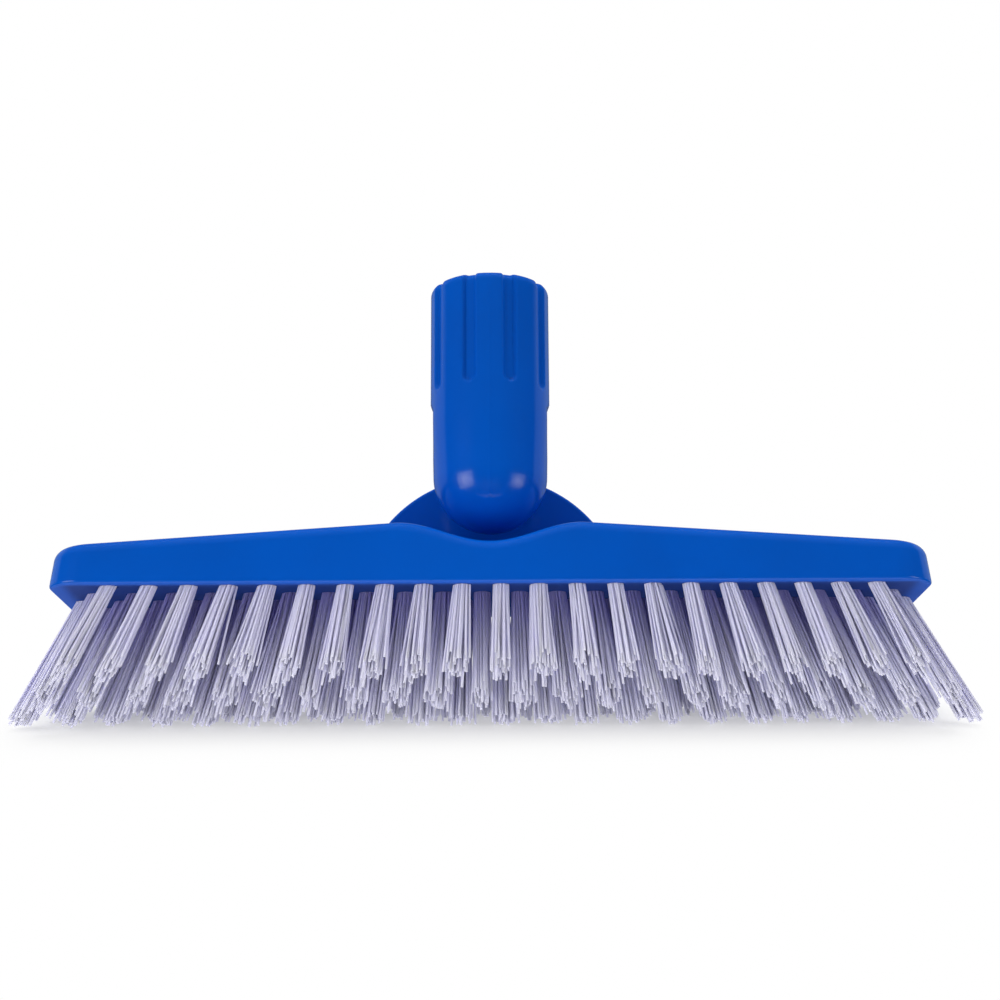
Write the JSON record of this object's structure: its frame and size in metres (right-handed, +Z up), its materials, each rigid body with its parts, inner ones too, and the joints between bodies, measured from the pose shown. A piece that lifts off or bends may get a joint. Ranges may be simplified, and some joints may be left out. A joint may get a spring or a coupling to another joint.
{
  "type": "grout brush",
  "caption": "Swivel grout brush head: long moulded block with a fanned, V-trimmed bristle field and a handle socket that swings from side to side on a cross bolt.",
  "frame": {"origin": "middle of the bounding box at its lowest level, where the trimmed ridge of the bristles stands", "axes": "+Z up out of the handle socket, +X along the block, +Y from the open front of the block towards the arch behind the socket"},
  "size_m": [0.257, 0.0492, 0.1217],
  "materials": {
    "blue_plastic": "glossy injection-moulded royal blue polypropylene",
    "bristle_nylon": "stiff white nylon filament with a lavender cast",
    "steel": "zinc-plated steel",
    "white_plastic": "natural white acetal"
  },
  "bodies": {
    "head": {"brush_block": "blue_plastic", "bristle_row_1": "bristle_nylon", "bristle_row_2": "bristle_nylon", "bristle_row_3": "bristle_nylon", "bristle_row_4": "bristle_nylon", "bristle_row_5": "bristle_nylon", "pivot_washer": "steel"},
    "socket": {"handle_socket": "blue_plastic", "pivot_bolt": "steel", "lock_nut": "steel", "nut_ring": "bristle_nylon", "friction_washer": "white_plastic"}
  },
  "joints": [
    {"name": "socket_swing", "type": "hinge", "parent": "head", "child": "socket", "pos_m": [0, 0, 0.0677], "axis": [0, 1, 0], "range_deg": [-90, 90]}
  ]
}
